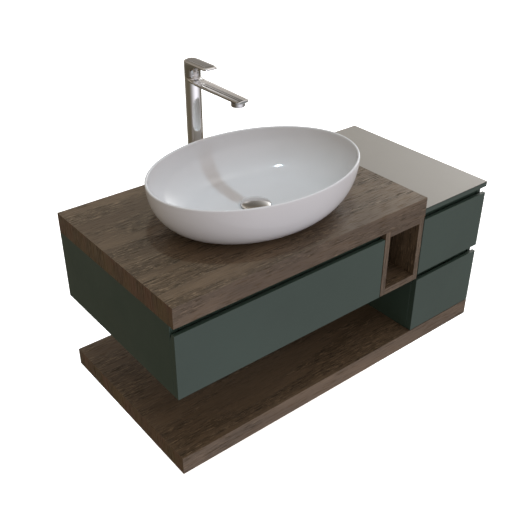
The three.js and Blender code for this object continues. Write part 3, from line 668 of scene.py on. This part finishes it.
def make_basin(material):
    low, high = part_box("basin")
    x, y = middle("basin")
    a, b = (high.x - low.x) / 2, (high.y - low.y) / 2
    count, steps = 176, 34
    lip = high.z - low.z - RIM / 2
    sections = [(HOLE_R, HOLE_R, 0)]
    for i in range(steps + 1):
        fraction = 1 - math.cos(i / steps * QUARTER)
        pull = draw_in(fraction)
        sections.append((a - FOOT_IN_A * pull, b - FOOT_IN_B * pull, fraction * lip))
    for i in range(1, 12):
        turn = math.pi * i / 12
        inset = RIM / 2 * (1 - math.cos(turn))
        sections.append((a - inset, b - inset, lip + RIM / 2 * math.sin(turn)))
    floor_edge = FLOOR_RISE + FLOOR_DISH
    for i in range(steps, 0, -1):
        fraction = 1 - math.cos(i / steps * QUARTER)
        pull = draw_in(fraction)
        sections.append((a - RIM - FOOT_IN_A * pull, b - RIM - FOOT_IN_B * pull,
                         floor_edge + fraction * (lip - floor_edge)))
    foot_a, foot_b = a - FOOT_IN_A - RIM, b - FOOT_IN_B - RIM
    for i in range(1, 9):
        t = i / 9
        sections.append((blend(foot_a, SEAT_R, t), blend(foot_b, SEAT_R, t),
                         FLOOR_RISE + FLOOR_DISH * (1 - t) ** 2))
    for radius, z in ((SEAT_R, FLOOR_RISE), (HOLE_R + HOLE_EDGE, FLOOR_RISE),
                      (HOLE_R, FLOOR_RISE - HOLE_EDGE)):
        sections.append((radius, radius, z))
    rings = [oval(x, y, low.z + z, half_x, half_y, count) for half_x, half_y, z in sections]
    points, faces = skin(rings, closed_rings=True)
    new_piece("basin_shell", points, faces, material, ROOT, ["basin"])


# ---------------------------------------------------------------- tap

SEAM = 0.3 * MM           # gap between pieces of the tap that meet
SHANK_R = 14 * MM
BASE_RING = 3 * MM        # height of the ring on the worktop
SPOUT_TAPER_Y = 64 * MM   # nearer the axis than this the spout is as wide as the column
SPOUT_TIP_HALF = 16.5 * MM
SPOUT_CORNER = 5 * MM
SPOUT_THICK = 10.6 * MM
SPOUT_DROP = 3.6 * MM     # from the lever's seam to the spout's top


def make_tap(chrome):
    low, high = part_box("tap_handle")
    body_low, body_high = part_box("tap_body")
    radius = (high.x - low.x) / 2
    x = (low.x + high.x) / 2
    y = high.y - radius
    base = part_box("worktop")[1].z + SEAM
    seam = low.z - SEAM
    flange = (body_high.x - body_low.x) / 2

    # Column with its base ring and threaded shank.
    column = rounded([
        (0, body_low.z), (SHANK_R, body_low.z), (SHANK_R, base), (flange, base),
        (flange, base + BASE_RING), (flange - 1.2 * MM, base + BASE_RING + 1 * MM),
        (radius, base + BASE_RING + 1.2 * MM), (radius, seam), (0, seam)], 0.5 * MM)
    points, faces = lathe(column, x, y, 128)
    # The column gets the brighter copy of the chrome: painted reflection.
    bright = chrome_plate("column_chrome_painted_light", COLUMN_CHROME_PAINTED_LIGHT)
    new_piece("tap_column", points, faces, bright, ROOT, ["tap_body"])
    make_spout(chrome, x, y, radius, seam, body_low.y)
    make_handle(chrome, x, y, radius, low, high)
    make_aerator(chrome)


def make_spout(chrome, x, y, radius, seam, tip):
    """A bar with a faceted top and a rounded underside that grows out of the column."""
    top = seam - SPOUT_DROP
    length = y - tip
    inside = 4 * MM  # where the bar starts, within the column
    stations = [inside + (length - inside) * (i / 70) for i in range(68)]
    stations += [length - SPOUT_CORNER * (1 - math.sin(QUARTER * i / 7)) * 0.9 for i in range(1, 8)]
    stations = sorted(set(min(s, length) for s in stations))
    right_half = [0.13, 0.17, 0.3, 0.46, 0.5, 0.6, 0.75, 0.9, 0.97, 1]
    across = [-u for u in reversed(right_half)] + [0] + right_half
    under_edge = 2.0 * MM
    rings = []
    for s in stations:
        taper = clamp((s - SPOUT_TAPER_Y) / (length - SPOUT_TAPER_Y))
        half = blend(radius - 0.3 * MM, SPOUT_TIP_HALF, taper)
        left = length - s
        if left < SPOUT_CORNER:
            half -= SPOUT_CORNER - math.sqrt(max(0, SPOUT_CORNER ** 2 - (SPOUT_CORNER - left) ** 2))
        ahead = s - radius                      # in front of the column
        root = clamp(1 - ahead / (11 * MM))
        power = blend(3.0, 1.35, clamp(1 - ahead / (24 * MM)))
        deep = SPOUT_THICK + 7 * MM * root ** 2 - 4.5 * MM * clamp(1 - left / (9 * MM)) ** 1.6
        tip_roll = 0.8 * MM * clamp(1 - left / (1.6 * MM)) ** 2
        ring = []
        for u in across:
            side = abs(u)
            reach = math.hypot(half * u, s)
            rise = 3.4 * MM * clamp(1 - (reach - radius) / (12 * MM)) ** 2
            facet = 0.25 * MM * clamp((side - 0.15) / 0.33) + 1.05 * MM * clamp((side - 0.48) / 0.52)
            step = 0.3 * MM * (clamp((side - 0.13) / 0.04) + clamp((side - 0.46) / 0.04))
            roll = 0.7 * MM * clamp((side - 0.95) / 0.05) ** 2
            ring.append((x + half * u, y - s, top + rise - facet - step - roll - tip_roll))
        for i in range(1, 24):
            t = math.cos(math.pi * i / 24)
            drop = (deep - under_edge) * (1 - abs(t) ** power) ** (1 / power)
            ring.append((x + half * t, y - s, top - under_edge - drop))
        rings.append(ring)
    points, faces = skin(rings[::-1])
    new_piece("tap_spout", points, faces, chrome, ROOT)


def plate_front(half, reach, corner):
    """Straight sides and a tip with rounded corners, as (across, forward) points."""
    side, flat = 8, 6
    points = [(-half, (reach - corner) * i / side) for i in range(side)]
    for i in range(11):
        turn = QUARTER * i / 10
        points.append((-half + corner * (1 - math.cos(turn)), reach - corner * (1 - math.sin(turn))))
    for i in range(1, flat):
        points.append((blend(-half + corner, half - corner, i / flat), reach))
    for i in range(11):
        turn = QUARTER * (1 - i / 10)
        points.append((half - corner * (1 - math.cos(turn)), reach - corner * (1 - math.sin(turn))))
    points += [(half, (reach - corner) * (1 - i / side)) for i in range(1, side + 1)]
    return points


def nose_front(half, reach, count):
    """Half an ellipse, as (across, forward) points."""
    turns = [math.pi * i / (count - 1) for i in range(count)]
    return [(-half * math.cos(t), reach * math.sin(t)) for t in turns]


def make_handle(chrome, x, y, radius, low, high):
    """The lever's plate, and the round hub under it that is hollow over the cartridge."""
    bottom, top = low.z, high.z
    reach_max = y - low.y
    corner = 11 * MM
    bevel_in, bevel_down, side = 8 * MM, 3.5 * MM, 3.3 * MM
    rim = top - bevel_down
    hollow = 15.5 * MM
    pivot = y + 6 * MM
    slope = math.tan(math.radians(19))  # the hub's rear rises by this to clear the column
    front_count = len(plate_front(radius, reach_max, corner))
    rear_count = 40

    def ring(z, front, half, raise_rear=False):
        points = [(x + u, y - v) for u, v in front]
        for i in range(1, rear_count):
            turn = math.pi * i / rear_count
            points.append((x + half * math.cos(turn), y + half * math.sin(turn)))
        if not raise_rear:
            return [(px, py, z) for px, py in points]
        return [(px, py, max(z, bottom + (py - pivot) * slope) if py > pivot else z) for px, py in points]

    def nose(z, reach, half=radius, raise_rear=False):
        return ring(z, nose_front(half, reach, front_count), half, raise_rear)

    def plate(z, inset):
        front = plate_front(radius - inset, reach_max - inset, max(1.5 * MM, corner - inset))
        return ring(z, front, radius - inset)

    rings = [nose(bottom + 20 * MM, 0.3 * MM, 0.3 * MM), nose(bottom + 20 * MM, hollow, hollow)]
    rings.append(nose(bottom, hollow, hollow, True))
    rings.append(nose(bottom, radius - 0.4 * MM, radius - 0.4 * MM, True))
    for rise in (0.4, 7.0, 9.7):
        rings.append(nose(bottom + rise * MM, radius, radius, True))
    fillet = 15 * MM
    under = rim - side
    bend = under - 8 * MM
    for i in range(1, 9):
        turn = QUARTER * i / 8
        out = fillet * (1 - math.cos(turn))
        rings.append(nose(bend - fillet + fillet * math.sin(turn), radius + out))
    for t in (0.12, 0.3, 0.5, 0.7, 0.85, 0.95, 1.0):
        reach = blend(radius + fillet, reach_max - 1.5 * MM, t)
        rings.append(nose(blend(bend, under - 0.1 * MM, t ** 0.9), reach))
    for z, inset in (
        (under, 0.6), (under + 0.15 * MM, 0.15), (under + 0.6 * MM, 0),
        (rim - 0.6 * MM, 0), (rim - 0.15 * MM, 0.12), (rim + 0.1 * MM, 0.5),
    ):
        rings.append(plate(z, inset * MM))
    for z, inset in ((top - 0.35 * MM, bevel_in - 1.1 * MM), (top - 0.08 * MM, bevel_in - 0.2 * MM),
                     (top, bevel_in + 0.8 * MM), (top, 14 * MM), (top, 18.5 * MM)):
        rings.append(plate(z, inset))
    points, faces = skin(rings)
    new_piece("tap_lever_shell", points, faces, chrome, "tap_lever", ["tap_handle"])


def make_aerator(chrome):
    low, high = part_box("tap_aerator")
    r = (high.x - low.x) / 2
    top = high.z + 1.5 * MM  # inside the spout
    profile = rounded([
        (0, low.z + 2.5 * MM), (r - 5 * MM, low.z + 2.5 * MM), (r - 4.2 * MM, low.z),
        (r - 1.0 * MM, low.z), (r, low.z + 1.2 * MM), (r, top), (0, top)], 0.5 * MM)
    points, faces = lathe(profile, *middle("tap_aerator"), 72)
    new_piece("tap_aerator_ring", points, faces, chrome, ROOT, ["tap_aerator"])


# ---------------------------------------------------------------- waste

def make_waste(chrome):
    low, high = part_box("waste_plug")
    x, y = middle("waste_plug")
    r = (high.x - low.x) / 2
    stem, collar = 5 * MM, 12 * MM
    dome_rise, rim_height = 5.6 * MM, 1.4 * MM
    edge = high.z - dome_rise - rim_height
    dome = [(r * math.cos(t), edge + rim_height + dome_rise * math.sin(t))
            for t in (QUARTER * i / 14 for i in range(15))]
    profile = rounded([
        (0, low.z), (stem, low.z), (stem, low.z + 12 * MM), (collar, low.z + 14 * MM),
        (collar, low.z + 18 * MM), (stem, low.z + 20 * MM), (stem, edge), (r - 1.4 * MM, edge),
        (r - 0.2 * MM, edge + 0.5 * MM)], 0.4 * MM) + dome
    points, faces = lathe(profile, x, y, 112)
    new_piece("waste_cover", points, faces, chrome, "plug", ["waste_plug"])

    low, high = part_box("waste_body")
    flange_r = (high.x - low.x) / 2
    bore, tube = 16.5 * MM, 20 * MM
    ring = high.z - 2.2 * MM
    profile = [(bore, low.z), (tube, low.z), (tube, ring), (flange_r, ring),
               (flange_r - 0.2 * MM, ring + 0.9 * MM), (flange_r - 2.4 * MM, high.z),
               (bore + 2 * MM, high.z - 0.2 * MM), (bore, high.z - 1.6 * MM)]
    points, faces = lathe(profile, x, y, 96, closed=True)
    new_piece("waste_flange", points, faces, chrome, ROOT, ["waste_body"])


# ---------------------------------------------------------------- small fittings

def join_shells(shells):
    """One points and faces pair out of several."""
    points, faces = [], []
    for more_points, more_faces in shells:
        start = len(points)
        points += more_points
        faces += [tuple(start + i for i in face) for face in more_faces]
    return points, faces


def screw_head(x, y, z, radius=3.4 * MM, height=1.5 * MM):
    """A pan head on a face that looks along +Y, with a hexagon socket."""
    count = 24

    def ring(r, out, socket=False):
        points = []
        for k in range(count):
            turn = -FULL * k / count
            reach = r
            if socket:
                corner = math.pi / 3
                reach = r * math.cos(corner / 2) / math.cos((turn % corner) - corner / 2)
            points.append((x + reach * math.cos(turn), y + out, z + reach * math.sin(turn)))
        return points

    socket_r = radius * 0.5
    return skin([
        ring(radius, 0), ring(radius, height * 0.45), ring(radius * 0.88, height * 0.85),
        ring(radius * 0.66, height), ring(socket_r, height, True), ring(socket_r, height * 0.35, True)])


def make_back_screws(material):
    shells = []
    for node, spots in (
        ("main_back", [(u, 0.042) for u in (0.04, 0.28, 0.52, 0.76, 0.96)]
         + [(0.013, 0.36), (0.987, 0.36)]),
        ("right_back", [(u, v) for u in (0.035, 0.965) for v in (0.03, 0.35, 0.67, 0.965)]
         + [(0.5, 0.02), (0.5, 0.98)]),
        ("niche_back", [(u, v) for u in (0.07, 0.93) for v in (0.06, 0.5, 0.94)]),
    ):
        low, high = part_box(node)
        shells += [screw_head(blend(low.x, high.x, u), high.y + SKIN_GAP, blend(low.z, high.z, v))
                   for u, v in spots]
    points, faces = join_shells(shells)
    new_piece("back_panel_screws", points, faces, material, ROOT, smooth=False)


def make_drawer_caps(material):
    """The oval covers over the fixing of each front, inside the drawer's two sides."""
    half_long, half_high, thick = 20 * MM, 6.5 * MM, 1.2 * MM
    straight = half_long - half_high
    for drawer in ("wide", "upper", "lower"):
        shells = []
        for side, way in (("left", 1), ("right", -1)):
            low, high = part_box(f"{drawer}_drawer_side_{side}")
            face = high.x if way > 0 else low.x
            cy, cz = low.y + 34 * MM, blend(low.z, high.z, 0.62)

            def outline(inset, out):
                r = half_high - inset
                points = []
                for k in range(32):
                    turn = FULL * k / 32 * way
                    along = math.copysign(straight, math.cos(turn)) + r * math.cos(turn)
                    points.append((face + way * out, cy + along, cz + r * math.sin(turn)))
                return points

            shells.append(skin([
                outline(0, SKIN_GAP), outline(0, thick * 0.55), outline(0.5 * MM, thick),
                outline(2.4 * MM, thick), outline(2.8 * MM, thick * 0.75), outline(5 * MM, thick * 0.7)]))
        points, faces = join_shells(shells)
        new_piece(f"{drawer}_drawer_caps", points, faces, material, f"{drawer}_drawer")


def grip_ring(x, y, low, high, radius, ribs):
    """A ring with rounded ribs round it, for tightening by hand."""
    count = ribs * 8

    def ring(base, rib, z):
        points = []
        for k in range(count):
            turn = FULL * k / count
            r = base + rib * max(0.0, math.cos(ribs * turn)) ** 0.7
            points.append((x + r * math.cos(turn), y + r * math.sin(turn), z))
        return points

    rim, rib = 1.2 * MM, 1.1 * MM
    return skin([ring(radius - 0.5 * MM, 0, low), ring(radius, 0.3 * MM, low + 0.2 * MM),
                 ring(radius, rib, low + rim), ring(radius, rib, high - rim),
                 ring(radius, 0.3 * MM, high - 0.2 * MM), ring(radius - 0.5 * MM, 0, high)],
                closed_rings=True)


TRAP_R = 28 * MM
TRAP_Y = -57 * MM  # the trap's axis stands this far in front of the wall
NUT_R = 25 * MM


def make_waste_grips(material):
    """The ribs of the trap's cup and of the union nut under the basin."""
    trap_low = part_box("bottle_trap")[0]
    pipe_low, pipe_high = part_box("drain_pipe")
    cup = trap_low.z + 30 * MM  # where the trap's cup screws on
    shells = [
        grip_ring(trap_low.x + TRAP_R, TRAP_Y, cup + 1 * MM, cup + 15 * MM, TRAP_R, 20),
        grip_ring(pipe_high.x - NUT_R, pipe_low.y + NUT_R, pipe_high.z - 20 * MM,
                  pipe_high.z - 3 * MM, NUT_R, 18),
    ]
    points, faces = join_shells(shells)
    new_piece("waste_nut_grips", points, faces, material, ROOT)


def hexagon(x, y, z, radius):
    turns = [math.pi * k / 3 for k in range(6)]
    return [(x + radius * math.sin(t), y + radius * math.cos(t), z) for t in turns]


def make_aerator_mesh(material):
    """The honeycomb that the water runs through."""
    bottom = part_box("tap_aerator")[0].z
    x, y = middle("tap_aerator")
    pitch, z0, z1 = 2.6 * MM, bottom + 1.0 * MM, bottom + 2.6 * MM
    outer, inner = pitch * 0.52, pitch * 0.40
    mesh_r = 9.6 * MM
    shells = []
    for row in range(-5, 6):
        for column in range(-5, 6):
            cx = x + pitch * (column + row / 2)
            cy = y + pitch * row * math.sqrt(3) / 2
            if math.hypot(cx - x, cy - y) > mesh_r:
                continue
            shells.append(skin([hexagon(cx, cy, z, r) for r, z in (
                (outer, z0), (inner, z0), (inner, z1), (outer, z1))], closed_rings=True))
    points, faces = join_shells(shells)
    new_piece("aerator_mesh", points, faces, material, ROOT, smooth=False)


# ---------------------------------------------------------------- assembly

make_camera()
make_studio()
dress_boards()
dress_drawers()
make_basin(glaze("white_glaze"))
chrome = chrome_plate("polished_chrome")
make_tap(chrome)
# The waste cover gets the brighter copy of the chrome: painted reflection.
make_waste(chrome_plate("waste_chrome_painted_light", WASTE_CHROME_PAINTED_LIGHT))
make_back_screws(plated_steel("zinc_screws"))
make_drawer_caps(moulded("grey_plastic", (0.11, 0.112, 0.115)))
make_waste_grips(moulded("white_plastic_grips", WHITE_PLASTIC))
make_aerator_mesh(moulded("dark_plastic_mesh", (0.05, 0.05, 0.052)))
